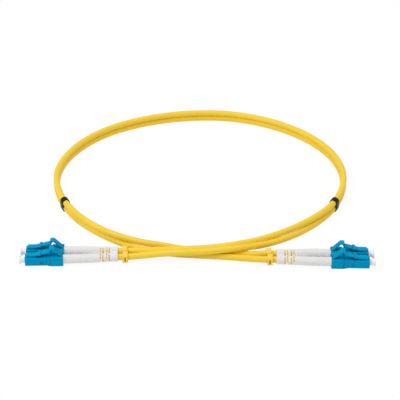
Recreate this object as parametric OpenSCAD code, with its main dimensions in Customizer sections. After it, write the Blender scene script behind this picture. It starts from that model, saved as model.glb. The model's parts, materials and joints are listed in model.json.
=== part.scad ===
// Duplex LC fibre optic patch cord, about half a metre long, coiled once.
// Two jacketed fibres run side by side between two duplex plugs. All sizes are in millimetres.
// The origin is on the table, midway between the two duplex plugs. Z points up.
// Each plug is drawn along X with its front face at X = 0 and its cable end at positive X,
// and at_plug() then puts it in its row at its end of the cord.

/* [Plug] */
// Width and height of a plug
plug_size = 4.4; // [4.2:0.1:4.6]
// Distance between the two plugs of a pair
plug_pitch = 6.25; // [6:0.05:6.6]
// Length of the moulded plug housing
housing_length = 15.1; // [14.9:0.1:15.7]
// Radius of the long edges of the housing
corner_r = 0.45; // [0.2:0.05:0.6]
// Length of the bevelled nose in front of the latch
nose_length = 0.8; // [0.6:0.1:1.2]
// Bevel on the top edges of the nose
nose_bevel = 0.5; // [0.3:0.1:1]
// Bore around the ferrule at the front
front_bore_d = 3.3; // [3.1:0.1:3.5]
// Depth of that bore
front_bore_depth = 3; // [2.9:0.1:3.2]
// Thickness of the wall that stops the ferrule holder
stop_wall = 0.6; // [0.4:0.1:0.8]
// Bore behind that wall
cavity_d = 3.4; // [3.3:0.1:3.6]
// Length of the side windows
window_length = 1.2; // [0.8:0.1:1.4]
// Height of the side windows
window_height = 1.8; // [1.4:0.1:2]

/* [Latch and trigger] */
// Width of the latch arm and of its root
latch_w = 2.6; // [2:0.1:3]
// Height of the latch root above the plug
root_rise = 1; // [0.9:0.05:1.1]
// Thickness of the latch arm
latch_t = 0.65; // [0.55:0.05:0.75]
// Length of the latch arm from its bend
latch_length = 8.6; // [8.4:0.1:8.8]
// Slope of the latch arm in degrees
latch_slope = 16.3; // [15.5:0.1:17]
// Width over the two shoulders of the latch
shoulder_w = 3.5; // [3.1:0.1:3.9]
// Width of a trigger
trigger_w = 2.7; // [2.4:0.1:3.2]
// Thickness of a trigger
trigger_t = 0.62; // [0.54:0.02:0.7]
// Height of the trigger above the plug
trigger_rise = 4.6; // [4.4:0.05:4.8]
// Number of grip ridges on a trigger
ridges = 7; // [4:1:8]
// Depth of the grip ridges
ridge_depth = 0.15; // [0.1:0.05:0.2]

/* [Clip] */
// Wall of the duplex clip around the plugs
clip_wall = 0.3; // [0.25:0.05:0.4]
// Length of the duplex clip
clip_length = 5.4; // [5.2:0.1:5.6]

/* [Ferrule, holder and spring] */
// Diameter of the ceramic ferrule
ferrule_d = 1.249; // [1.2:0.001:1.3]
// Length of the ferrule
ferrule_length = 6.5; // [6.3:0.1:6.7]
// How far the ferrule stands out of the plug
ferrule_out = 1.5; // [1.3:0.1:1.8]
// Diameter of the flange of the ferrule holder
flange_d = 2.9; // [2.7:0.1:3.1]
// Length of that flange
flange_length = 1.75; // [1.6:0.05:1.9]
// Diameter of the holder behind the flange
tail_d = 1.7; // [1.5:0.1:1.8]
// Travel of the ferrule against its spring
ferrule_travel = 1; // [0.5:0.1:1.2]
// Wire of the spring
spring_wire = 0.3; // [0.25:0.05:0.35]
// Outer diameter of the spring
spring_d = 2.65; // [2.5:0.05:2.7]

/* [Dust cap] */
// Diameter of the dust cap
cap_d = 2.9; // [2.6:0.1:3]
// Diameter of its rim
cap_rim_d = 3.9; // [3.4:0.1:4.2]
// Length of the cap in front of the plug
cap_out = 2.7; // [2.4:0.1:3.2]
// Length of the cap inside the plug
cap_in = 1.8; // [1.4:0.1:1.8]

/* [Rear body and crimp] */
// Diameter of the crimp post
post_d = 2.4; // [2.3:0.1:2.5]
// Outer diameter of the crimp sleeve
crimp_d = 3.6; // [3.5:0.05:3.65]
// Length of the crimp sleeve
crimp_length = 7; // [6.6:0.1:7.2]
// Diameter of the buffered fibre
buffer_d = 0.9; // [0.8:0.05:1]

/* [Boot] */
// Diameter of the boot at the plug
boot_d = 4.45; // [4.4:0.05:4.7]
// Diameter of the boot at its thin end
boot_end_d = 4.25; // [4.1:0.05:4.25]
// Length of the boot
boot_length = 25.2; // [25:0.1:26]
// Width of the slots in the boot
slot_w = 0.6; // [0.4:0.05:0.7]
// Width of the bridges between the slots
bridge_w = 0.95; // [0.7:0.05:1.2]

/* [Cable and fittings] */
// Diameter of a cable jacket
jacket_d = 3.1; // [2.9:0.05:3.15]
// Width of a square marker ring
marker_w = 4.3; // [4.1:0.05:4.4]
// Height of a marker ring
marker_h = 4.1; // [4:0.05:4.4]
// Length of a marker ring
marker_length = 2.4; // [1.8:0.1:3]
// Width of a tie band along the cable
band_w = 2.8; // [1.8:0.1:3.5]
// Thickness of a tie band
band_t = 0.4; // [0.3:0.05:0.8]

/* [Hidden] */
// Clearances
seat_gap = 0.03;
hinge_gap = 0.05;
slide_gap = 0.01;
fit_gap = 0.05;
bore_gap = 0.1;

// Where the two duplex plugs lie and how far their cable ends turn away from the front
end_x = 79.85;
end_y = [0.5, -1.5];
end_turn = 1.5;
plug_half = plug_size / 2;
axis_z = clip_wall + seat_gap + plug_half;

// Lengthwise places in a plug, from the front face
stop_end = front_bore_depth + stop_wall;
holder_front = stop_end + fit_gap;
ferrule_front = -ferrule_out;
ferrule_rear = ferrule_front + ferrule_length;
flange_end = holder_front + flange_length;
window_front = 7.1;
rear_body_front = window_front - 0.25;
spring_front = flange_end + fit_gap / 2;
spring_seat = 9.35;
tail_end = spring_seat + 0.6;
clip_end = 17.6;
clip_front = clip_end - clip_length;
seam_x = clip_front - 2.1;
seam_depth = 0.1;
post_end = 21.7;
boot_front = clip_end + fit_gap;
crimp_front = boot_front + 0.15;
crimp_end = crimp_front + crimp_length;
jacket_start = post_end + 0.3;
boot_bend = 25.7;
boot_end = boot_front + boot_length;

// Latch, whose bend turns in a round seat behind its root
latch_bend_r = root_rise / 2;
latch_x = 3.6;
latch_z = plug_half + seat_gap + latch_bend_r;
latch_end_x = latch_x + latch_length * cos(latch_slope);
shoulder_front = 2.7;
shoulder_rear = 4.2;

// Trigger, whose knuckle turns in a round seat of the clip and whose hook lies over the latch
knuckle_d = trigger_t;
trigger_x = clip_end - 0.7;
trigger_z = plug_half + 0.25;
trigger_top = plug_half + trigger_rise;
hook_x = latch_end_x - 0.35;
hook_t = 0.95;
hook_gap = 0.12;
bend_x = hook_x + hook_t + 0.8;
bend_z = trigger_top - trigger_t / 2;
trigger_angle = atan2(bend_z - trigger_z, trigger_x - bend_x);
trigger_arm = norm([trigger_x - bend_x, bend_z - trigger_z]);
notch_front = housing_length + 0.4;

// The boot leans inwards behind its bend, so that the jackets leave it close together
exit_half = 2.25;
lean = atan2(plug_pitch / 2 - exit_half, boot_end - boot_bend);
lean_length = (boot_end - boot_bend) / cos(lean);
crimp_bore = crimp_d + 2 * bore_gap;
jacket_bore = jacket_d + 2 * bore_gap;
// Slots, from the bend: every other one is bridged at the sides instead of at top and bottom
slot_pairs = [8.9, 11.8];
slot_step = 1.15;

// Marker rings sit this far behind the boot
marker_gap = 2.4;
marker_x = boot_end + marker_gap;

// Halves of the centre distance of the two jackets
near_half = jacket_d / 2 + bore_gap / 2;
jacket_r = jacket_d / 2;

// ---- Route of the cable pair ----

// A point of the route in line with the duplex plug at one end: x, y, z, roll, half distance
function end_point(side, x, z, half) = [
    side * (end_x - x * cos(end_turn)),
    end_y[side < 0 ? 0 : 1] + x * sin(end_turn),
    z,
    0,
    half
];
function boot_half(x) = x < boot_bend ? plug_pitch / 2 : plug_pitch / 2 - (x - boot_bend) * tan(lean);
function boot_points(side) = [
    for (x = [jacket_start, boot_bend, (boot_bend + boot_end) / 2, boot_end])
        end_point(side, x, axis_z, boot_half(x))
];
function reversed(list) = [for (i = [len(list) - 1:-1:0]) list[i]];

// Middle of the pair: x, y, height above the table, roll in degrees, extra half distance.
// Roll 0 lays the jackets side by side and roll 90 stacks the back one on the front one.
hand_points = [
    [-25, 1.3, 3.4, 0, 0.2],
    [-17, 0.8, 4.5, -4, 0],
    [-8, 0.8, 4.95, -8, 0],
    [2, 1.4, 5, -8, 0],
    [11, 2.8, 5, -8, 0],
    [20, 4.9, 4.85, 0, 0],
    [29, 8.6, 3.9, 16, 0],
    [38, 13.4, 3.3, 34, 0],
    [48, 19.8, 3.2, 52, 0],
    [58, 28.4, 3.2, 72, 0],
    [66, 38, 3.2, 86, 0],
    [72, 50, 3.2, 90, 0],
    [75, 63, 3.2, 90, 0],
    [74.6, 76, 3.2, 90, 0],
    [70.4, 90, 3.2, 90, 0],
    [62, 103.4, 3.2, 90, 0],
    [50.4, 114.6, 3.2, 90, 0],
    [36, 123.4, 3.2, 90, 0],
    [19, 129, 3.2, 90, 0],
    [1.6, 130.2, 3.2, 90, 0],
    [-16, 127.8, 3.2, 90, 0],
    [-33, 122.1, 3.2, 90, 0],
    [-48, 113.4, 3.2, 90, 0],
    [-60, 101.6, 3.2, 90, 0],
    [-68, 88, 3.2, 90, 0],
    [-72, 74, 3.2, 90, 0],
    [-71.8, 60, 3.2, 90, 0],
    [-67.6, 45.8, 3.2, 90, 0],
    [-60.4, 33, 3.2, 90, 0],
    [-51, 22.6, 3.2, 90, 0],
    [-40, 14.2, 3.15, 84, 0],
    [-28.5, 8.6, 2.9, 50, 0],
    [-18, 6.4, 2.3, 24, 0.2],
    [-8, 4.9, 1.65, 2, 0.5],
    [2, 3.8, 1.6, 0, 0.4],
    [11, 2.8, 1.6, 0, 0.2],
    [19, 1.7, 1.65, 0, 0.1],
    [26, 0.6, 1.9, 0, 0.2]
];
function lifted(p) = [p[0], p[1], p[2], p[3], near_half + p[4]];
points = concat(
    boot_points(-1),
    [end_point(-1, marker_x + marker_length, axis_z, exit_half - 0.02)],
    [for (p = hand_points) lifted(p)],
    [end_point(1, marker_x + marker_length, axis_z, exit_half - 0.02)],
    reversed(boot_points(1))
);
last = len(points) - 1;

// Smooth curve through the points, where u counts the points from 0
function between(a, b, c, d, t) =
    0.5 * ((2 * b) + (c - a) * t + (2 * a - 5 * b + 4 * c - d) * t * t
    + (3 * b - a - 3 * c + d) * t * t * t);
function point_at(i) =
    i < 0 ? 2 * points[0] - points[1]
    : i > last ? 2 * points[last] - points[last - 1]
    : points[i];
function route(u) =
    let (i = min(floor(u), last - 1))
    between(point_at(i - 1), point_at(i), point_at(i + 1), point_at(i + 2), u - i);
function flat(p) = [p[0], p[1], 0];
function heading(u) =
    let (d = flat(route(min(u + 0.01, last))) - flat(route(max(u - 0.01, 0))))
    d / norm(d);
// One jacket of the pair: side 1 is the back jacket, side -1 the front one
function jacket_point(u, side) =
    let (p = route(u), h = heading(u), r = side * p[4])
    [p[0] - h[1] * r * cos(p[3]), p[1] + h[0] * r * cos(p[3]), p[2] + r * sin(p[3])];
function jacket_heading(u, side) =
    let (d = jacket_point(min(u + 0.01, last), side) - jacket_point(max(u - 0.01, 0), side))
    d / norm(d);

// One ring where the points are close together, two where they are far apart
ring_places = [
    for (i = [0:last - 1])
        for (t = norm(flat(points[i + 1]) - flat(points[i])) > 12.6 ? [0, 0.5] : [0])
            i + t,
    last
];
jacket_sides = 8;

// Places of the tie bands along the route
left_band_at = last - 14.7;
right_band_at = 15.3;

// ---- Helpers ----

// Puts a plug's pieces in their row: side -1 is the left end, row -1 the front row
module at_plug(side, row) {
    translate([side * end_x, end_y[side < 0 ? 0 : 1], axis_z])
    rotate([0, 0, side < 0 ? end_turn : 180 - end_turn])
    translate([0, -side * row * plug_pitch / 2, 0])
    children();
}

// Round bar along X
module bar(from, to, d, d_end = 0) {
    translate([from, 0, 0])
    rotate([0, 90, 0])
    cylinder(h = to - from, d1 = d, d2 = d_end == 0 ? d : d_end, $fn = 48);
}

// Outline in Y and Z, drawn out along X
module along_x(from, to) {
    translate([from, 0, 0])
    rotate([90, 0, 90])
    linear_extrude(to - from)
    children();
}

// Outline in X and Z, drawn out across the plug
module across(width) {
    translate([0, width / 2, 0])
    rotate([90, 0, 0])
    linear_extrude(width)
    children();
}

module rounded_rect(w, h, r) {
    square([w - 2 * r, h], center = true);
    square([w, h - 2 * r], center = true);
    for (x = [-1, 1], y = [-1, 1])
        translate([x * (w / 2 - r), y * (h / 2 - r)])
        circle(r = r, $fn = 24);
}

// Tube swept along a list of points with a heading for each, its rings turned to face up
module swept(centres, headings, up, r, sides) {
    n = len(centres);
    rings = [
        for (i = [0:n - 1])
            let (h = headings[i], s = cross(up, h) / norm(cross(up, h)), t = cross(h, s))
            for (k = [0:sides - 1])
                let (a = 360 * (k + 0.5) / sides)
                centres[i] + r * (cos(a) * s + sin(a) * t)
    ];
    walls = [
        for (i = [0:n - 2], k = [0:sides - 1])
            let (a = i * sides + k, b = i * sides + (k + 1) % sides)
            for (face = [[a, a + sides, b + sides], [a, b + sides, b]])
                face
    ];
    polyhedron(
        points = rings,
        faces = concat(
            [[for (k = [0:sides - 1]) k]],
            walls,
            [[for (k = [sides - 1:-1:0]) (n - 1) * sides + k]]
        )
    );
}

// ---- Pieces of one plug ----

// Front end with bevelled top edges
module nose_outline() {
    h = plug_half;
    c = 0.3;
    polygon([
        [-h + c, -h], [h - c, -h], [h, -h + c],
        [h, h - nose_bevel], [h - nose_bevel, h],
        [-h + nose_bevel, h], [-h, h - nose_bevel], [-h, -h + c]
    ]);
}

module housing() {
    difference() {
        union() {
            along_x(0, nose_length) nose_outline();
            along_x(nose_length, housing_length) rounded_rect(plug_size, plug_size, corner_r);
            // Root of the latch
            across(latch_w)
            polygon([
                [nose_length, plug_half - 0.4],
                [nose_length, plug_half + root_rise - 0.2],
                [nose_length + 0.2, plug_half + root_rise],
                [latch_x, plug_half + root_rise],
                [latch_x, plug_half - 0.4]
            ]);
        }
        bar(-1, front_bore_depth, front_bore_d);
        bar(0, housing_length, tail_d + 2 * bore_gap);
        bar(stop_end, housing_length + 1, cavity_d);
        // Seat of the latch's bend
        translate([latch_x, 0, latch_z])
        rotate([90, 0, 0])
        cylinder(h = latch_w + 1, r = latch_bend_r + hinge_gap, center = true, $fn = 48);
        // Seam between the housing's front and rear mouldings
        along_x(seam_x, seam_x + 0.15)
        difference() {
            square(2 * plug_size, center = true);
            square(plug_size - 2 * seam_depth, center = true);
        }
        // Side windows for the rear body's catches
        translate([window_front, -plug_size, -window_height / 2])
        cube([window_length, 2 * plug_size, window_height]);
    }
}

module latch() {
    low = -latch_bend_r;
    across(latch_w)
    translate([latch_x, latch_z]) {
        circle(r = latch_bend_r, $fn = 48);
        square([1.1, latch_bend_r]);
        rotate(latch_slope)
        translate([0, low])
        square([latch_length, latch_t]);
    }
    // Shoulders that hold the plug in its adapter
    across(shoulder_w)
    translate([latch_x, latch_z])
    rotate(latch_slope)
    polygon([
        [shoulder_front, low + 0.1],
        [shoulder_rear, low + 0.1],
        [shoulder_rear, low + latch_t + 0.3],
        [shoulder_front + 0.5, low + latch_t + 0.3],
        [shoulder_front, low + latch_t]
    ]);
}

// Lever that presses the latch arm down, hinged at the back of the duplex clip
module trigger() {
    difference() {
        across(trigger_w) {
            translate([trigger_x, trigger_z])
            circle(d = knuckle_d, $fn = 32);
            translate([trigger_x, trigger_z])
            rotate(180 - trigger_angle)
            translate([0, -trigger_t / 2])
            square([trigger_arm, trigger_t]);
            translate([bend_x, bend_z])
            circle(d = trigger_t, $fn = 32);
            hook_outline();
        }
        // Grip ridges
        for (i = [0:ridges - 1])
            translate([trigger_x, 0, trigger_z])
            rotate([0, trigger_angle - 180, 0])
            translate([0.9 + i * (trigger_arm - 1.2) / ridges, 0, -trigger_t / 2])
            rotate([0, 45, 0])
            cube([ridge_depth * sqrt(2), trigger_w + 1, ridge_depth * sqrt(2)], center = true);
    }
}

// Hook at the free end, which rests just over the end of the latch arm
module hook_outline() {
    // Top of the latch arm below the hook, and the gap between them
    arm_top = latch_z + (hook_x - latch_x) * tan(latch_slope) + (latch_t - latch_bend_r) / cos(latch_slope);
    low = arm_top + hook_gap;
    polygon([
        [hook_x, low],
        [hook_x + hook_t, low + hook_t * tan(latch_slope)],
        [hook_x + hook_t, trigger_top - trigger_t - 0.1],
        [bend_x, bend_z - trigger_t / 2],
        [bend_x, trigger_top],
        [hook_x + 0.15, trigger_top],
        [hook_x, trigger_top - 0.15]
    ]);
}

module ferrule() {
    difference() {
        bar(ferrule_front, ferrule_rear, ferrule_d);
        // Fibre hole
        bar(ferrule_front - 1, ferrule_rear + 1, 0.125);
    }
}

module ferrule_holder() {
    difference() {
        union() {
            bar(holder_front, flange_end, flange_d);
            bar(flange_end - 0.1, tail_end, tail_d);
        }
        bar(holder_front - 1, ferrule_rear, ferrule_d + slide_gap);
        bar(0, tail_end + 1, buffer_d + bore_gap);
    }
}

// Compression spring between the holder and the rear body
module spring() {
    turns = 6;
    steps = 12;
    r = (spring_d - spring_wire) / 2;
    from = spring_front + spring_wire / 2;
    rise = spring_seat - fit_gap / 2 - spring_wire / 2 - from;
    count = turns * steps;
    pitch_slope = rise / turns / (2 * PI * r);
    centres = [for (i = [0:count]) let (a = 360 * i / steps) [from + rise * i / count, r * cos(a), r * sin(a)]];
    headings = [
        for (i = [0:count])
            let (a = 360 * i / steps, d = [pitch_slope, -sin(a), cos(a)])
            d / norm(d)
    ];
    swept(centres, headings, [1, 0, 0], spring_wire / 2, 6);
}

// Rear body: its tube holds the spring, its catches sit in the side windows
module rear_body() {
    difference() {
        union() {
            bar(rear_body_front, housing_length - 0.2, cavity_d - 2 * fit_gap);
            bar(housing_length - 0.5, clip_end, cavity_d - 4 * fit_gap);
            bar(clip_end - 0.1, post_end, post_d);
            translate([window_front + fit_gap, 0, 0])
            rotate([0, 90, 0])
            catches();
        }
        bar(rear_body_front - 1, spring_seat, spring_d + 2 * bore_gap);
        bar(0, post_end + 1, tail_d + 2 * bore_gap);
        // Grooves that grip the yarn
        for (i = [0:2])
            translate([clip_end + 1.1 + i * 1.1, 0, 0])
            groove();
    }
}

module catches() {
    h = window_height - 2 * fit_gap;
    w = plug_size - 0.3;
    translate([-h / 2, -w / 2, 0])
    cube([h, w, window_length - 2 * fit_gap]);
}

module groove() {
    difference() {
        bar(0, 0.4, post_d + 1);
        bar(-0.1, 0.5, post_d - 0.2);
    }
}

// Metal sleeve crimped over the post and the end of the jacket
module crimp_sleeve() {
    difference() {
        bar(crimp_front, crimp_end, crimp_d);
        bar(crimp_front - 1, post_end + 0.15, post_d + bore_gap);
        bar(post_end + 0.1, crimp_end + 1, jacket_d + bore_gap / 2);
    }
}

module fibre_buffer() {
    bar(ferrule_rear + ferrule_travel + 0.2, jacket_start - fit_gap, buffer_d);
}

// Strain relief boot. Its rear part leans towards the other boot of the pair.
module boot(lean_side) {
    difference() {
        union() {
            bar(boot_front, boot_bend, boot_d, boot_d - 0.1);
            leaning(lean_side) boot_tail();
        }
        bar(boot_front - 1, crimp_end + 0.4, crimp_bore);
        bar(boot_front, boot_bend, jacket_bore + bore_gap);
        leaning(lean_side) boot_cuts();
    }
}

module leaning(lean_side) {
    translate([boot_bend, 0, 0])
    rotate([0, 0, lean_side * lean])
    children();
}

module boot_tail() {
    ring_start = slot_pairs[1] + 2 * slot_step;
    bar(-0.3, ring_start, boot_d - 0.16, boot_end_d);
    bar(ring_start, lean_length, boot_end_d);
}

module boot_cuts() {
    bar(-0.3, lean_length + 1, jacket_bore);
    for (x = slot_pairs) {
        slot_ring(x, bridge_w, 2 * boot_d);
        slot_ring(x + slot_step, 2 * boot_d, bridge_w);
    }
}

// Ring-shaped cut that leaves a bridge as high and as wide as given
module slot_ring(x, high, wide) {
    difference() {
        bar(x, x + slot_w, boot_d + 1);
        translate([x - 1, -wide / 2, -high / 2])
        cube([slot_w + 2, wide, high]);
    }
}

module dust_cap() {
    difference() {
        union() {
            bar(-cap_out, cap_in, cap_d);
            bar(-cap_out, -cap_out + 0.6, cap_rim_d);
        }
        bar(ferrule_front - 0.1, cap_in + 1, ferrule_d + 2 * slide_gap);
    }
}

// ---- Pieces of a pair ----

// Clip that joins two plugs and carries both triggers
module duplex_clip() {
    width = plug_pitch + plug_size + 2 * (clip_wall + seat_gap);
    outer = plug_half + seat_gap + clip_wall;
    difference() {
        union() {
            along_x(clip_front, clip_end) rounded_rect(width, 2 * outer, 0.6);
            // Tongue under the plugs
            across(width - 1)
            polygon([
                [clip_front - 1.8, -plug_half - seat_gap - 0.05],
                [clip_front - 1.8, -plug_half - seat_gap],
                [clip_front + 0.1, -plug_half - seat_gap],
                [clip_front + 0.1, -outer],
                [clip_front, -outer]
            ]);
        }
        for (row = [-1, 1])
            translate([0, row * plug_pitch / 2, 0]) {
                clip_pocket();
                trigger_seat();
            }
    }
}

module clip_pocket() {
    pocket = plug_size + 2 * seat_gap;
    along_x(clip_front - 3, housing_length + seat_gap)
    rounded_rect(pocket, pocket, corner_r);
    bar(clip_front, clip_end + 1, cavity_d - 2 * fit_gap);
}

// Notch at the back of the clip with a round seat for a trigger's knuckle
module trigger_seat() {
    across(trigger_w + 2 * hinge_gap)
    polygon([
        [notch_front, plug_size],
        [notch_front, plug_half],
        [clip_end + 1, plug_half],
        [clip_end + 1, plug_size]
    ]);
    across(trigger_w + 2 * hinge_gap)
    translate([trigger_x, trigger_z])
    circle(d = knuckle_d + 2 * hinge_gap, $fn = 32);
}

// ---- Fittings on the cable ----

module marker_ring(side, row, slip = 0) {
    from_end = marker_u + slip / (marker_gap + marker_length);
    u = side < 0 ? from_end : last - from_end;
    h = jacket_heading(u, row);
    translate(jacket_point(u, row))
    rotate([0, 0, atan2(h[1], h[0])])
    rotate([0, -asin(h[2]), 0])
    difference() {
        along_x(-marker_length / 2, marker_length / 2)
        rounded_rect(marker_w, marker_h, 0.6);
        bar(-marker_length, marker_length, jacket_bore);
    }
}
// The rings sit between the end of the boot, point 3 of the route, and point 4,
// each slipped a little on its jacket
marker_u = 3 + (marker_gap + marker_length / 2) / (marker_gap + marker_length);

module cable(side) {
    swept(
        [for (u = ring_places) jacket_point(u, side)],
        [for (u = ring_places) jacket_heading(u, side)],
        [0, 0, 1],
        jacket_r,
        jacket_sides
    );
}

// Band around both stacked jackets
module tie_band(u) {
    p = route(u);
    h = heading(u);
    inner = jacket_r + bore_gap;
    translate([p[0], p[1], p[2]])
    rotate([0, 0, atan2(h[1], h[0])])
    along_x(-band_w / 2, band_w / 2)
    difference() {
        stadium(inner + band_t);
        stadium(inner);
    }
}

module stadium(r) {
    square([2 * r, 2 * near_half], center = true);
    for (y = [-1, 1])
        translate([0, y * near_half])
        circle(r = r, $fn = 48);
}

// ---- Nodes ----

module left_duplex_clip() { color("deepskyblue") at_plug(-1, 0) duplex_clip(); }
module left_front_plug_housing() { color("deepskyblue") at_plug(-1, -1) housing(); }
module left_front_latch() { color("dodgerblue") at_plug(-1, -1) latch(); }
module left_front_trigger() { color("dodgerblue") at_plug(-1, -1) trigger(); }
module left_front_ferrule() { color("white") at_plug(-1, -1) ferrule(); }
module left_front_ferrule_holder() { color("silver") at_plug(-1, -1) ferrule_holder(); }
module left_front_spring() { color("gray") at_plug(-1, -1) spring(); }
module left_front_rear_body() { color("steelblue") at_plug(-1, -1) rear_body(); }
module left_front_crimp_sleeve() { color("silver") at_plug(-1, -1) crimp_sleeve(); }
module left_front_fibre_buffer() { color("ivory") at_plug(-1, -1) fibre_buffer(); }
module left_front_boot() { color("whitesmoke") at_plug(-1, -1) boot(1); }
module left_front_dust_cap() { color("gainsboro") at_plug(-1, -1) dust_cap(); }
module left_front_marker_ring() { color("khaki") marker_ring(-1, -1); }

module left_back_plug_housing() { color("deepskyblue") at_plug(-1, 1) housing(); }
module left_back_latch() { color("dodgerblue") at_plug(-1, 1) latch(); }
module left_back_trigger() { color("dodgerblue") at_plug(-1, 1) trigger(); }
module left_back_ferrule() { color("white") at_plug(-1, 1) ferrule(); }
module left_back_ferrule_holder() { color("silver") at_plug(-1, 1) ferrule_holder(); }
module left_back_spring() { color("gray") at_plug(-1, 1) spring(); }
module left_back_rear_body() { color("steelblue") at_plug(-1, 1) rear_body(); }
module left_back_crimp_sleeve() { color("silver") at_plug(-1, 1) crimp_sleeve(); }
module left_back_fibre_buffer() { color("ivory") at_plug(-1, 1) fibre_buffer(); }
module left_back_boot() { color("whitesmoke") at_plug(-1, 1) boot(-1); }
module left_back_dust_cap() { color("gainsboro") at_plug(-1, 1) dust_cap(); }
module left_back_marker_ring() { color("khaki") marker_ring(-1, 1, -0.35); }

module right_duplex_clip() { color("deepskyblue") at_plug(1, 0) duplex_clip(); }
module right_front_plug_housing() { color("deepskyblue") at_plug(1, -1) housing(); }
module right_front_latch() { color("dodgerblue") at_plug(1, -1) latch(); }
module right_front_trigger() { color("dodgerblue") at_plug(1, -1) trigger(); }
module right_front_ferrule() { color("white") at_plug(1, -1) ferrule(); }
module right_front_ferrule_holder() { color("silver") at_plug(1, -1) ferrule_holder(); }
module right_front_spring() { color("gray") at_plug(1, -1) spring(); }
module right_front_rear_body() { color("steelblue") at_plug(1, -1) rear_body(); }
module right_front_crimp_sleeve() { color("silver") at_plug(1, -1) crimp_sleeve(); }
module right_front_fibre_buffer() { color("ivory") at_plug(1, -1) fibre_buffer(); }
module right_front_boot() { color("whitesmoke") at_plug(1, -1) boot(-1); }
module right_front_dust_cap() { color("gainsboro") at_plug(1, -1) dust_cap(); }
module right_front_marker_ring() { color("khaki") marker_ring(1, -1, -0.5); }

module right_back_plug_housing() { color("deepskyblue") at_plug(1, 1) housing(); }
module right_back_latch() { color("dodgerblue") at_plug(1, 1) latch(); }
module right_back_trigger() { color("dodgerblue") at_plug(1, 1) trigger(); }
module right_back_ferrule() { color("white") at_plug(1, 1) ferrule(); }
module right_back_ferrule_holder() { color("silver") at_plug(1, 1) ferrule_holder(); }
module right_back_spring() { color("gray") at_plug(1, 1) spring(); }
module right_back_rear_body() { color("steelblue") at_plug(1, 1) rear_body(); }
module right_back_crimp_sleeve() { color("silver") at_plug(1, 1) crimp_sleeve(); }
module right_back_fibre_buffer() { color("ivory") at_plug(1, 1) fibre_buffer(); }
module right_back_boot() { color("whitesmoke") at_plug(1, 1) boot(1); }
module right_back_dust_cap() { color("gainsboro") at_plug(1, 1) dust_cap(); }
module right_back_marker_ring() { color("khaki") marker_ring(1, 1, 0.15); }

module front_cable() { color("gold") cable(-1); }
module back_cable() { color("gold") cable(1); }
module left_tie_band() { color("dimgray") tie_band(left_band_at); }
module right_tie_band() { color("dimgray") tie_band(right_band_at); }

left_duplex_clip();
left_front_plug_housing();
left_front_latch();
left_front_trigger();
left_front_ferrule();
left_front_ferrule_holder();
left_front_spring();
left_front_rear_body();
left_front_crimp_sleeve();
left_front_fibre_buffer();
left_front_boot();
left_front_dust_cap();
left_front_marker_ring();
left_back_plug_housing();
left_back_latch();
left_back_trigger();
left_back_ferrule();
left_back_ferrule_holder();
left_back_spring();
left_back_rear_body();
left_back_crimp_sleeve();
left_back_fibre_buffer();
left_back_boot();
left_back_dust_cap();
left_back_marker_ring();
right_duplex_clip();
right_front_plug_housing();
right_front_latch();
right_front_trigger();
right_front_ferrule();
right_front_ferrule_holder();
right_front_spring();
right_front_rear_body();
right_front_crimp_sleeve();
right_front_fibre_buffer();
right_front_boot();
right_front_dust_cap();
right_front_marker_ring();
right_back_plug_housing();
right_back_latch();
right_back_trigger();
right_back_ferrule();
right_back_ferrule_holder();
right_back_spring();
right_back_rear_body();
right_back_crimp_sleeve();
right_back_fibre_buffer();
right_back_boot();
right_back_dust_cap();
right_back_marker_ring();
front_cable();
back_cable();
left_tie_band();
right_tie_band();
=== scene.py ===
# Duplex fibre patch cord, coiled once on a pale table: finishes, cords and light around the frame.
# Everything is in metres, in the frame's own coordinates, with Z up.
import json
import math

import bpy
import numpy as np
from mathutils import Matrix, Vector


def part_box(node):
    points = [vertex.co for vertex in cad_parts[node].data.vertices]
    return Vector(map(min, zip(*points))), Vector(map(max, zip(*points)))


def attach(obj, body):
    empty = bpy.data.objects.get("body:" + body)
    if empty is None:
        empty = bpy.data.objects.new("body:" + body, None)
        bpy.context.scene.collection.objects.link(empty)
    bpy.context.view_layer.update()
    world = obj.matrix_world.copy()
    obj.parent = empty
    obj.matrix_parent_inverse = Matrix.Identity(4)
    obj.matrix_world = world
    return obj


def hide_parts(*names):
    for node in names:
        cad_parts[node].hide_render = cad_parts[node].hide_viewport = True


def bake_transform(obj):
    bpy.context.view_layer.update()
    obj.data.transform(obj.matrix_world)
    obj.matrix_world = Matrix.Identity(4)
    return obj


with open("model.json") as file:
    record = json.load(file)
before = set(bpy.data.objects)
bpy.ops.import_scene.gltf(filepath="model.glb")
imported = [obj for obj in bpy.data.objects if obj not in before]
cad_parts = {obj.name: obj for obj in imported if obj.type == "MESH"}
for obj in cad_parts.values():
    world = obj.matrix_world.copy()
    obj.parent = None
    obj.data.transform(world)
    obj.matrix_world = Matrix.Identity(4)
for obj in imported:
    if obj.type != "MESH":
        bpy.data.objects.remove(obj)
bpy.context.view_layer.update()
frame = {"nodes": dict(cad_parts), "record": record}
nodes = frame["nodes"]
mounts = {mount["name"]: mount for mount in frame["record"]["mounts"]}
print("frame loaded:", len(nodes), "nodes")


cameraLook = {
    "place": (0.00135, -0.4047, 0.3103),
    "downAngle": 34.3,  # degrees below the horizon
    "lens": 98,  # focal length and sensor width in millimetres
    "sensor": 36,
    "nearest": 0.01,
}

cameraData = bpy.data.cameras.new("camera")
cameraData.lens = cameraLook["lens"]
cameraData.sensor_width = cameraLook["sensor"]
cameraData.clip_start = cameraLook["nearest"]
camera = bpy.data.objects.new("camera", cameraData)
camera.location = cameraLook["place"]
camera.rotation_euler = (math.radians(90 - cameraLook["downAngle"]), 0, 0)
bpy.context.scene.collection.objects.link(camera)
bpy.context.scene.camera = camera
print("camera placed")


def normalised(v):
    return v / np.linalg.norm(v, axis=-1, keepdims=True)


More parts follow.
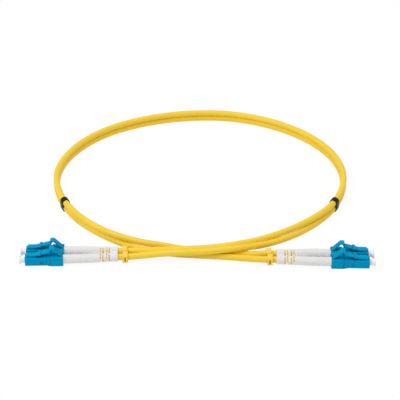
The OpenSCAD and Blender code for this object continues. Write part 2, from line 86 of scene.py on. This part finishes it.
def meshFromGrid(name, grid):
    # grid[i, j] is point j of ring i. Quads join each ring to the next and wrap round it,
    # and one flat face closes each end.
    rings, sides, _ = grid.shape
    i, j = np.meshgrid(np.arange(rings - 1), np.arange(sides), indexing="ij")
    k = (j + 1) % sides
    quads = np.stack([i * sides + j, i * sides + k, (i + 1) * sides + k, (i + 1) * sides + j], -1)
    faces = quads.reshape(-1, 4).tolist()
    faces.append(list(range(sides - 1, -1, -1)))
    faces.append(list(range((rings - 1) * sides, rings * sides)))
    mesh = bpy.data.meshes.new(name)
    mesh.from_pydata(grid.reshape(-1, 3).tolist(), [], faces)
    smooth = np.ones(len(faces), bool)
    smooth[-2:] = False
    mesh.polygons.foreach_set("use_smooth", smooth)
    mesh.update()
    piece = bpy.data.objects.new(name, mesh)
    bpy.context.scene.collection.objects.link(piece)
    return piece


def tube(name, path, radius, sides, reference=(0.0, 0.0, 1.0)):
    # A circle of the given radius carried along the path, square to its heading:
    # point = path + radius * (cos a * sideways + sin a * upwards), with a from 0 to a full turn.
    # The reference is a direction that the path never takes.
    heading = normalised(np.gradient(path, axis=0))
    sideways = normalised(np.cross(reference, heading))
    upwards = np.cross(heading, sideways)
    a = np.linspace(0, 2 * math.pi, sides, endpoint=False)[None, :, None]
    grid = path[:, None] + radius * (np.cos(a) * sideways[:, None] + np.sin(a) * upwards[:, None])
    return meshFromGrid(name, grid)


jacket = {
    "diameter": 0.0031,
    "gap": 0.0001,  # between the two jackets where they lie against each other
    "start": 0.022,  # this and the next three are distances behind the front faces of the plugs
    "bootBend": 0.0257,
    "bootEnd": 0.04285,
    "markerEnd": 0.04765,
    "plugPitch": 0.00625,
    "exitHalf": 0.00225,  # half the distance of the jackets where they leave the boots
    "markerTuck": 0.00002,  # how much less that is behind the marker rings
    "exitPoint": 3.0,  # control point where the jackets leave the left boots
    "headingStep": 0.01,  # of a control point, to each side, where the heading is measured
    "sides": 28,
    "stepsPerPoint": 12,
}

# Middle of the pair: x, y, height, roll in degrees, extra half distance.
# Roll 0 lays the jackets side by side and roll 90 stacks the back one on the front one.
routePoints = [
    (-0.025, 0.0013, 0.0034, 0, 0.0002),
    (-0.017, 0.0008, 0.0045, -4, 0.0),
    (-0.008, 0.0008, 0.00495, -8, 0.0),
    (0.002, 0.0014, 0.005, -8, 0.0),
    (0.011, 0.0028, 0.005, -8, 0.0),
    (0.02, 0.0049, 0.00485, 0, 0.0),
    (0.029, 0.0086, 0.0039, 16, 0.0),
    (0.038, 0.0134, 0.0033, 34, 0.0),
    (0.048, 0.0198, 0.0032, 52, 0.0),
    (0.058, 0.0284, 0.0032, 72, 0.0),
    (0.066, 0.038, 0.0032, 86, 0.0),
    (0.072, 0.05, 0.0032, 90, 0.0),
    (0.075, 0.063, 0.0032, 90, 0.0),
    (0.0746, 0.076, 0.0032, 90, 0.0),
    (0.0704, 0.09, 0.0032, 90, 0.0),
    (0.062, 0.1034, 0.0032, 90, 0.0),
    (0.0504, 0.1146, 0.0032, 90, 0.0),
    (0.036, 0.1234, 0.0032, 90, 0.0),
    (0.019, 0.129, 0.0032, 90, 0.0),
    (0.0016, 0.1302, 0.0032, 90, 0.0),
    (-0.016, 0.1278, 0.0032, 90, 0.0),
    (-0.033, 0.1221, 0.0032, 90, 0.0),
    (-0.048, 0.1134, 0.0032, 90, 0.0),
    (-0.06, 0.1016, 0.0032, 90, 0.0),
    (-0.068, 0.088, 0.0032, 90, 0.0),
    (-0.072, 0.074, 0.0032, 90, 0.0),
    (-0.0718, 0.06, 0.0032, 90, 0.0),
    (-0.0676, 0.0458, 0.0032, 90, 0.0),
    (-0.0604, 0.033, 0.0032, 90, 0.0),
    (-0.051, 0.0226, 0.0032, 90, 0.0),
    (-0.04, 0.0142, 0.00315, 84, 0.0),
    (-0.0285, 0.0086, 0.0029, 50, 0.0),
    (-0.018, 0.0064, 0.0023, 24, 0.0002),
    (-0.008, 0.0049, 0.00165, 2, 0.0005),
    (0.002, 0.0038, 0.0016, 0, 0.0004),
    (0.011, 0.0028, 0.0016, 0, 0.0002),
    (0.019, 0.0017, 0.00165, 0, 0.0001),
    (0.026, 0.0006, 0.0019, 0, 0.0002),
]


def plugPoint(side, behind, half):
    # A point in line with the duplex plug at one end, that far behind its front face
    mount = mounts[side + "duplex_plug"]
    place = np.array(mount["pos_m"]) - behind * np.array(mount["axis"])
    return [*place, 0.0, half]


def bootHalf(behind):
    # Half the distance of the two jackets: the plugs' own as far as the boots' bend, then closing in
    full = jacket["plugPitch"] / 2
    share = (behind - jacket["bootBend"]) / (jacket["bootEnd"] - jacket["bootBend"])
    return full - max(share, 0) * (full - jacket["exitHalf"])


def bootPoints(side):
    middle = (jacket["bootBend"] + jacket["bootEnd"]) / 2
    stops = [jacket["start"], jacket["bootBend"], middle, jacket["bootEnd"]]
    return [plugPoint(side, x, bootHalf(x)) for x in stops]


nearHalf = (jacket["diameter"] + jacket["gap"]) / 2
markerHalf = jacket["exitHalf"] - jacket["markerTuck"]
controls = np.array(
    bootPoints("left_")
    + [plugPoint("left_", jacket["markerEnd"], markerHalf)]
    + [[x, y, z, roll, nearHalf + extra] for x, y, z, roll, extra in routePoints]
    + [plugPoint("right_", jacket["markerEnd"], markerHalf)]
    + bootPoints("right_")[::-1]
)
last = len(controls) - 1


def route(u):
    # Catmull-Rom curve through the control points, where u counts them from 0
    padded = np.vstack([2 * controls[0] - controls[1], controls, 2 * controls[-1] - controls[-2]])
    i = np.minimum(np.floor(u).astype(int), last - 1)
    t = (u - i)[:, None]
    a, b, c, d = padded[i], padded[i + 1], padded[i + 2], padded[i + 3]
    return 0.5 * (
        2 * b + (c - a) * t + (2 * a - 5 * b + 4 * c - d) * t**2 + (3 * b - a - 3 * c + d) * t**3
    )


def jacketPath(u, side):
    # The middle of one jacket: half the pair's distance from the pair's middle,
    # to the left of the heading, rolled up by the pair's roll. Side 1 is the back jacket.
    p = route(u)
    step = jacket["headingStep"]
    ahead = (route(np.minimum(u + step, last)) - route(np.maximum(u - step, 0)))[:, :2]
    ahead = normalised(ahead)
    roll = np.radians(p[:, 3])
    reach = side * p[:, 4]
    return np.stack(
        [
            p[:, 0] - ahead[:, 1] * reach * np.cos(roll),
            p[:, 1] + ahead[:, 0] * reach * np.cos(roll),
            p[:, 2] + reach * np.sin(roll),
        ],
        -1,
    )


along = np.linspace(0, last, last * jacket["stepsPerPoint"] + 1)
cords = {}
for name, side in (("front", -1), ("back", 1)):
    path = jacketPath(along, side)
    piece = tube(name + "_jacket", path, jacket["diameter"] / 2, jacket["sides"])
    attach(piece, "cord")
    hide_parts(name + "_cable")
    onIt = [nodes[end + name + "_marker_ring"] for end in ("left_", "right_")]
    if name == "front":
        onIt += [nodes["left_tie_band"], nodes["right_tie_band"]]
    cords[name] = piece


spring = {
    "wire": 0.0003,
    "outer": 0.00265,
    "front": 0.005425,  # this and the next are distances behind the front face of its plug
    "seat": 0.009325,
    "turns": 6,
    "closedTurns": 0.8,  # wound tighter at each end
    "closedPitch": 0.55,  # pitch at the very ends, as a share of the pitch between them
    "stepsPerTurn": 28,
    "sides": 12,
}

# Helix round the plug's axis: point = axis point + r * (cos a * up + sin a * sideways).
# The pitch rises through the end turns to its full size between them.
coils = []
up = np.array([0.0, 0.0, 1.0])
turn = np.linspace(0, spring["turns"], spring["turns"] * spring["stepsPerTurn"] + 1)
fromEnd = np.minimum(turn, spring["turns"] - turn) / spring["closedTurns"]
pitch = spring["closedPitch"] + (1 - spring["closedPitch"]) * np.clip(fromEnd, 0, 1)
rise = np.concatenate([[0], np.cumsum((pitch[1:] + pitch[:-1]) / 2)])
rise = rise / rise[-1]
for side in ("left_", "right_"):
    for row, half in (("front_", -1), ("back_", 1)):
        axis = np.array(mounts[side + "duplex_plug"]["axis"])
        sideways = np.cross(up, axis)
        across = half * jacket["plugPitch"] / 2 * np.array([0.0, 1.0, 0.0])
        first, end = (
            np.array(mounts[side + "duplex_plug"]["pos_m"]) - behind * axis + across
            for behind in (spring["front"], spring["seat"])
        )
        a = turn[:, None] * 2 * math.pi
        r = (spring["outer"] - spring["wire"]) / 2
        inset = normalised(end - first) * spring["wire"] / 2
        middle = first + inset + rise[:, None] * (end - first - 2 * inset)
        helix = middle + r * (np.cos(a) * up + np.sin(a) * sideways)
        coil = tube(side + row + "coil", helix, spring["wire"] / 2, spring["sides"], axis)
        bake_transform(coil)
        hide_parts(side + row + "spring")
        coils.append(coil)
print("springs wound")


def toLinear(hexColour):
    # sRGB hex to the linear colour that a shader takes, by the sRGB standard's curve
    parts = [int(hexColour[k : k + 2], 16) / 255 for k in (1, 3, 5)]
    linear = [c / 12.92 if c <= 0.04045 else ((c + 0.055) / 1.055) ** 2.4 for c in parts]
    return (*linear, 1)


def addNode(tree, kind, sockets=None, links=None, **options):
    # sockets are fixed values by socket, links feed sockets from others,
    # and options are the node's own choices
    node = tree.nodes.new(kind)
    for name, value in options.items():
        setattr(node, name, value)
    for name, value in (sockets or {}).items():
        node.inputs[name].default_value = value
    for name, source in (links or {}).items():
        tree.links.new(source, node.inputs[name])
    return node


def newMaterial(name):
    material = bpy.data.materials.new(name)
    material.use_nodes = True
    tree = material.node_tree
    tree.nodes.clear()
    output = addNode(tree, "ShaderNodeOutputMaterial")
    return material, tree, output


plastic = {
    "flowDetail": 3,
    "driftFrom": 0.35,  # of the flow's noise, where the colour starts to drift
    "driftTo": 0.65,
    "grainDetail": 4,
    "roughSpread": 0.05,  # more and less roughness in the grain
    "edgeSamples": 6,
    "paintedHighlightFlat": 0.98,  # cosine between the rounded and the true normal, where the painted edge highlight starts
    "paintedHighlightTurned": 0.8,
    "paintedShadingSamples": 16,
}


def mouldedPlastic(name, look):
    # Moulded plastic: one body colour that drifts a little with the flow of the melt, a fine spark-eroded
    # grain from the mould, and edges rounded by the tool's radius; where the look asks, a painted edge
    # highlight and painted shading in recesses.
    material, tree, output = newMaterial(name)
    place = addNode(tree, "ShaderNodeTexCoord").outputs["Object"]
    flow = addNode(
        tree,
        "ShaderNodeTexNoise",
        {"Scale": 1 / look["flowSize"], "Detail": plastic["flowDetail"]},
        {"Vector": place},
    )
    drift = addNode(
        tree,
        "ShaderNodeMapRange",
        {"From Min": plastic["driftFrom"], "From Max": plastic["driftTo"]},
        {"Value": flow.outputs["Fac"]},
    )
    colour = addNode(
        tree,
        "ShaderNodeMix",
        {6: toLinear(look["colour"]), 7: toLinear(look["colourDrift"])},
        {0: drift.outputs["Result"]},
        data_type="RGBA",
    )
    grain = addNode(
        tree,
        "ShaderNodeTexNoise",
        {"Scale": 1 / look["grainSize"], "Detail": plastic["grainDetail"]},
        {"Vector": place},
    )
    spread = plastic["roughSpread"]
    rough = addNode(
        tree,
        "ShaderNodeMapRange",
        {"To Min": look["roughness"] - spread, "To Max": look["roughness"] + spread},
        {"Value": grain.outputs["Fac"]},
    )
    edge = addNode(tree, "ShaderNodeBevel", {"Radius": look["edge"]}, samples=plastic["edgeSamples"])
    body = colour.outputs[2]
    if "paintedEdgeHighlightColour" in look:
        # Painted highlight: paler where the surface turns over an edge, standing in for the glint of light
        # there
        flat = addNode(tree, "ShaderNodeNewGeometry").outputs["Normal"]
        agreement = addNode(
            tree, "ShaderNodeVectorMath", {}, {0: edge.outputs["Normal"], 1: flat}, operation="DOT_PRODUCT"
        )
        onEdge = addNode(
            tree,
            "ShaderNodeMapRange",
            {
                "From Min": plastic["paintedHighlightFlat"],
                "From Max": plastic["paintedHighlightTurned"],
                "To Max": look["paintedEdgeHighlightShare"],
            },
            {"Value": agreement.outputs["Value"]},
        )
        highlighted = addNode(
            tree,
            "ShaderNodeMix",
            {7: toLinear(look["paintedEdgeHighlightColour"])},
            {0: onEdge.outputs["Result"], 6: body},
            data_type="RGBA",
        )
        body = highlighted.outputs[2]
    if "paintedShadingColour" in look:
        # Painted shading in slots, seams and folds, found by ambient occlusion: painted shade where the
        # colour given is darker, painted light where it is paler
        opening = addNode(
            tree,
            "ShaderNodeAmbientOcclusion",
            {"Distance": look["paintedShadingReach"]},
            samples=plastic["paintedShadingSamples"],
        )
        outside = addNode(
            tree,
            "ShaderNodeMapRange",
            {"From Min": look["paintedShadingFull"], "From Max": look["paintedShadingOpen"]},
            {"Value": opening.outputs["AO"]},
        )
        paintedShadingMix = addNode(
            tree,
            "ShaderNodeMix",
            {6: toLinear(look["paintedShadingColour"])},
            {0: outside.outputs["Result"], 7: body},
            data_type="RGBA",
        )
        body = paintedShadingMix.outputs[2]
    bump = addNode(
        tree,
        "ShaderNodeBump",
        {"Strength": look["grainStrength"], "Distance": look["grainDepth"]},
        {"Height": grain.outputs["Fac"], "Normal": edge.outputs["Normal"]},
    )
    shader = addNode(
        tree,
        "ShaderNodeBsdfPrincipled",
        {"IOR": look["ior"], "Specular IOR Level": look["shine"]},
        {
            "Base Color": body,
            "Roughness": rough.outputs["Result"],
            "Normal": bump.outputs["Normal"],
        },
    )
    tree.links.new(shader.outputs["BSDF"], output.inputs["Surface"])
    return material


metal = {
    "markDistortion": 1.5,
    "markDetail": 2,
    "markDepth": 0.00001,
    "markStrength": 0.25,
    "roughSpread": 0.06,  # more and less roughness in the marks
}


def turnedMetal(name, look):
    # Small turned or drawn metal: rings of fine tool marks across a bare metal colour
    material, tree, output = newMaterial(name)
    place = addNode(tree, "ShaderNodeTexCoord").outputs["Object"]
    marks = addNode(
        tree,
        "ShaderNodeTexWave",
        {
            "Scale": 1 / look["markSize"],
            "Distortion": metal["markDistortion"],
            "Detail": metal["markDetail"],
        },
        {"Vector": place},
        bands_direction="X",
    )
    spread = metal["roughSpread"]
    rough = addNode(
        tree,
        "ShaderNodeMapRange",
        {"To Min": look["roughness"] - spread, "To Max": look["roughness"] + spread},
        {"Value": marks.outputs["Fac"]},
    )
    bump = addNode(
        tree,
        "ShaderNodeBump",
        {"Strength": metal["markStrength"], "Distance": metal["markDepth"]},
        {"Height": marks.outputs["Fac"]},
    )
    shader = addNode(
        tree,
        "ShaderNodeBsdfPrincipled",
        {"Base Color": toLinear(look["colour"]), "Metallic": 1.0},
        {"Roughness": rough.outputs["Result"], "Normal": bump.outputs["Normal"]},
    )
    tree.links.new(shader.outputs["BSDF"], output.inputs["Surface"])
    return material


def dress(ending, material):
    # The CAD nodes whose names end this way, in one finish
    chosen = [node for name, node in nodes.items() if name.endswith(ending)]
    for node in chosen:
        node.data.materials.clear()
        node.data.materials.append(material)
    print(material.name, "on", len(chosen), "nodes", ending)


# Glass-filled PBT, injection moulded: a dense even blue with a low sheen, a painted highlight on its edges
# and near-black painted shade under the latch arms and in other recesses
bluePlastic = {
    "colour": "#0094BF",
    "colourDrift": "#008FB9",
    "paintedEdgeHighlightColour": "#5CC0D2",
    "paintedEdgeHighlightShare": 0.35,
    "flowSize": 0.004,
    "grainSize": 0.00022,
    "grainDepth": 0.00001,
    "grainStrength": 0.3,
    "roughness": 0.42,
    "edge": 0.00012,
    "shine": 0.015,
    "ior": 1.53,
    "paintedShadingColour": "#001824",
    "paintedShadingReach": 0.0018,
    "paintedShadingFull": 0.3,
    "paintedShadingOpen": 0.75,
}
plugPlastic = mouldedPlastic("bluePbt", bluePlastic)
for ending in ("plug_housing", "latch", "duplex_clip", "rear_body"):
    dress(ending, plugPlastic)
# The triggers' grip ridges get a stronger painted edge highlight
dress("trigger", mouldedPlastic("bluePbtGrip", {**bluePlastic, "paintedEdgeHighlightShare": 0.5}))

# Thermoplastic elastomer: soft, matt and off-white, with painted light in its slots and in the fold
# between the boots
bootRubber = mouldedPlastic(
    "whiteElastomer",
    {
        "colour": "#DBDAD8",
        "colourDrift": "#D8D7D5",
        "flowSize": 0.006,
        "grainSize": 0.0003,
        "grainDepth": 0.000015,
        "grainStrength": 0.2,
        "roughness": 0.56,
        "edge": 0.0002,
        "shine": 0.12,
        "ior": 1.5,
        "paintedShadingColour": "#FFFFFF",
        "paintedShadingReach": 0.003,
        "paintedShadingFull": 0.35,
        "paintedShadingOpen": 0.8,
    },
)
dress("boot", bootRubber)

# Polyethylene dust cap: milky white and waxy, with painted light in the shade between the caps
capPlastic = mouldedPlastic(
    "milkyPolyethylene",
    {
        "colour": "#E4E4E4",
        "colourDrift": "#E1E1E1",
        "flowSize": 0.003,
        "grainSize": 0.0002,
        "grainDepth": 0.00001,
        "grainStrength": 0.1,
        "roughness": 0.45,
        "edge": 0.00005,
        "shine": 0.12,
        "ior": 1.5,
        "paintedShadingColour": "#FFFFFF",
        "paintedShadingReach": 0.003,
        "paintedShadingFull": 0.5,
        "paintedShadingOpen": 0.9,
    },
)
dress("dust_cap", capPlastic)

# Flexible PVC jacket: an even warm yellow with a broad soft sheen, and painted light, a brighter more
# saturated yellow, in the crease where the two jackets touch
jacketPvc = mouldedPlastic(
    "yellowPvc",
    {
        "colour": "#EAC626",
        "colourDrift": "#E6C122",
        "flowSize": 0.02,
        "grainSize": 0.0005,
        "grainDepth": 0.000006,
        "grainStrength": 0.03,
        "roughness": 0.55,
        "edge": 0.0001,
        "shine": 0.6,
        "ior": 1.5,
        "paintedShadingColour": "#FFDC00",
        "paintedShadingReach": 0.002,
        "paintedShadingFull": 0.3,
        "paintedShadingOpen": 0.8,
    },
)
for piece in cords.values():
    piece.data.materials.append(jacketPvc)
dress("_cable", jacketPvc)

# Polypropylene marker ring, paler than the jacket
markerPlastic = mouldedPlastic(
    "paleYellowPolypropylene",
    {
        "colour": "#EFCA58",
        "colourDrift": "#EBC450",
        "flowSize": 0.003,
        "grainSize": 0.0002,
        "grainDepth": 0.00001,
        "grainStrength": 0.2,
        "roughness": 0.45,
        "edge": 0.00015,
        "shine": 0.15,
        "ior": 1.49,
    },
)
dress("marker_ring", markerPlastic)

# Nylon tie band: an even satin black
bandNylon = mouldedPlastic(
    "blackNylon",
    {
        "colour": "#161617",
        "colourDrift": "#1D1D1D",
        "flowSize": 0.002,
        "grainSize": 0.0003,
        "grainDepth": 0.00002,
        "grainStrength": 0.4,
        "roughness": 0.4,
        "edge": 0.0001,
        "shine": 0.14,
        "ior": 1.53,
    },
)
dress("tie_band", bandNylon)

# Polished zirconia ferrule: dense white and glossy
zirconia = mouldedPlastic(
    "polishedZirconia",
    {
        "colour": "#F3F1EA",
        "colourDrift": "#EFEDE6",
        "flowSize": 0.002,
        "grainSize": 0.0002,
        "grainDepth": 0.000002,
        "grainStrength": 0.05,
        "roughness": 0.12,
        "edge": 0.00004,
        "shine": 0.5,
        "ior": 2.1,
    },
)
dress("_ferrule", zirconia)

# Tight buffer over the glass: smooth white PVC
bufferPvc = mouldedPlastic(
    "whitePvc",
    {
        "colour": "#ECE9DC",
        "colourDrift": "#E7E3D4",
        "flowSize": 0.004,
        "grainSize": 0.0002,
        "grainDepth": 0.000005,
        "grainStrength": 0.2,
        "roughness": 0.5,
        "edge": 0.00005,
        "shine": 0.35,
        "ior": 1.5,
    },
)
dress("fibre_buffer", bufferPvc)

# Nickel plate on the ferrule holder: a warm grey gleam over fine turning marks
nickelPlate = turnedMetal("nickelPlate", {"colour": "#C8C6C0", "roughness": 0.28, "markSize": 0.0004})
dress("ferrule_holder", nickelPlate)

# Drawn spring steel: a neutral grey wire with a narrow highlight on each turn
springWire = turnedMetal("springSteel", {"colour": "#B4B4B2", "roughness": 0.3, "markSize": 0.0003})
for coil in coils:
    coil.data.materials.append(springWire)

# Soft brass crimp sleeve: pale yellow metal, a little dull from drawing
softBrass = turnedMetal("softBrass", {"colour": "#D9C07A", "roughness": 0.34, "markSize": 0.0005})
dress("crimp_sleeve", softBrass)


digit = {
    "height": 0.0021,
    "heightShare": 0.7,  # of the font's size, taken by a number's height
    "thickness": 0.00004,
    "boldness": 0.00008,
    "ringHalf": 0.00215,  # from the middle of a marker ring to its side face
    "front": "1",
    "back": "2",
}

# Pad-printed ink: dark olive, matt
digitInk = mouldedPlastic(
    "darkInk",
    {
        "colour": "#6B5C16",
        "colourDrift": "#5F5214",
        "flowSize": 0.001,
        "grainSize": 0.0002,
        "grainDepth": 0.000005,
        "grainStrength": 0.2,
        "roughness": 0.6,
        "edge": 0.00001,
        "shine": 0.2,
        "ior": 1.5,
    },
)


def digitPiece(name, text, centre, xAxis, outwards):
    # The number's flat outline, thickened, with its middle at the centre and its face outwards
    curve = bpy.data.curves.new(name, "FONT")
    curve.body = text
    curve.align_x = "CENTER"
    curve.align_y = "CENTER"
    curve.size = digit["height"] / digit["heightShare"]
    curve.extrude = digit["thickness"] / 2
    curve.offset = digit["boldness"]
    source = bpy.data.objects.new(name + "_outline", curve)
    bpy.context.scene.collection.objects.link(source)
    bpy.context.view_layer.update()
    evaluated = source.evaluated_get(bpy.context.evaluated_depsgraph_get())
    mesh = bpy.data.meshes.new_from_object(evaluated)
    bpy.data.objects.remove(source)
    flat = np.zeros(len(mesh.vertices) * 3)
    mesh.vertices.foreach_get("co", flat)
    flat = flat.reshape(-1, 3)
    flat[:, :2] -= (flat[:, :2].min(0) + flat[:, :2].max(0)) / 2
    yAxis = np.cross(outwards, xAxis)
    placed = centre + flat[:, :1] * xAxis + flat[:, 1:2] * yAxis + flat[:, 2:] * outwards
    mesh.vertices.foreach_set("co", placed.ravel())
    mesh.update()
    piece = bpy.data.objects.new(name, mesh)
    bpy.context.scene.collection.objects.link(piece)
    piece.data.materials.append(digitInk)
    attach(piece, "cord")


for side in ("left_", "right_"):
    for row, direction in (("front_", -1), ("back_", 1)):
        low, high = (np.array(corner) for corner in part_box(side + row + "marker_ring"))
        axis = np.array(mounts[side + "duplex_plug"]["axis"])
        # Square to the plug's axis: forwards on the front row's rings and backwards on the back row's
        outwards = normalised(np.array([-axis[1], axis[0], 0.0]))
        if outwards[1] * direction < 0:
            outwards = -outwards
        centre = (low + high) / 2 + outwards * (digit["ringHalf"] + digit["thickness"] / 2)
        digitPiece(side + row + "number", digit[row.strip("_")], centre, np.cross(up, outwards), outwards)
print("numbers placed")


studio = {
    "floorColour": "#F4F4F4",
    "floorShadow": 0.08,  # how much of the real light and shadow the floor shows
    "floorHalf": 4,
    "floorHeight": -0.0001,
    "skyStrength": 0.7,
    "keyPlace": (-0.6, -0.2, 0.68),
    "keySize": 0.5,
    "keyPower": 2.8,
    "topPlace": (0.1, 0.15, 0.9),
    "topSize": 0.5,
    "topPower": 2.2,
    "target": (0, 0.06, 0),  # about the middle of the coil, where both lamps point
}


def floorMaterial():
    # Plain pale card. Seen straight or in a gloss it is almost all white, with a little of its own
    # light and shadow, and it throws its full light back on the object.
    material, tree, output = newMaterial("paleFloor")
    path = addNode(tree, "ShaderNodeLightPath")
    seen = addNode(
        tree,
        "ShaderNodeMath",
        {},
        {0: path.outputs["Is Camera Ray"], 1: path.outputs["Is Glossy Ray"]},
        operation="MAXIMUM",
    )
    clear = addNode(
        tree,
        "ShaderNodeMath",
        {},
        {0: seen.outputs[0], 1: path.outputs["Is Transmission Ray"]},
        operation="MAXIMUM",
    )
    share = addNode(
        tree, "ShaderNodeMath", {1: 1 - studio["floorShadow"]}, {0: clear.outputs[0]}, operation="MULTIPLY"
    )
    matt = addNode(tree, "ShaderNodeBsdfDiffuse", {"Color": toLinear(studio["floorColour"])})
    white = addNode(tree, "ShaderNodeEmission", {"Strength": 1.0})
    mixed = addNode(
        tree,
        "ShaderNodeMixShader",
        {},
        {0: share.outputs[0], 1: matt.outputs[0], 2: white.outputs[0]},
    )
    tree.links.new(mixed.outputs[0], output.inputs["Surface"])
    return material


floorMesh = bpy.data.meshes.new("floor")
corners = [
    (studio["floorHalf"] * x, studio["floorHalf"] * y, studio["floorHeight"])
    for x, y in ((-1, -1), (1, -1), (1, 1), (-1, 1))
]
floorMesh.from_pydata(corners, [], [(0, 1, 2, 3)])
floor = bpy.data.objects.new("floor", floorMesh)
floor.data.materials.append(floorMaterial())
bpy.context.scene.collection.objects.link(floor)

# An even soft sky lights the object, and the camera sees plain white
world = bpy.data.worlds.new("sky")
world.use_nodes = True
skyTree = world.node_tree
skyTree.nodes.clear()
skyPath = addNode(skyTree, "ShaderNodeLightPath")
soft = addNode(skyTree, "ShaderNodeBackground", {"Color": (1, 1, 1, 1), "Strength": studio["skyStrength"]})
white = addNode(skyTree, "ShaderNodeBackground", {"Color": (1, 1, 1, 1), "Strength": 1.0})
skyMix = addNode(
    skyTree,
    "ShaderNodeMixShader",
    {},
    {0: skyPath.outputs["Is Camera Ray"], 1: soft.outputs[0], 2: white.outputs[0]},
)
addNode(skyTree, "ShaderNodeOutputWorld", {}, {"Surface": skyMix.outputs[0]})
bpy.context.scene.world = world


def lamp(name):
    # A round soft box, turned towards the object
    data = bpy.data.lights.new(name, "AREA")
    data.shape = "DISK"
    data.size = studio[name + "Size"]
    data.energy = studio[name + "Power"]
    item = bpy.data.objects.new(name, data)
    item.location = studio[name + "Place"]
    direction = np.array(studio["target"]) - np.array(studio[name + "Place"])
    item.rotation_euler = (
        math.acos(-direction[2] / np.linalg.norm(direction)),
        0,
        math.atan2(direction[1], direction[0]) - math.pi / 2,
    )
    bpy.context.scene.collection.objects.link(item)


lamp("key")
lamp("top")

bpy.context.scene.view_settings.view_transform = "Standard"
print("studio lit")
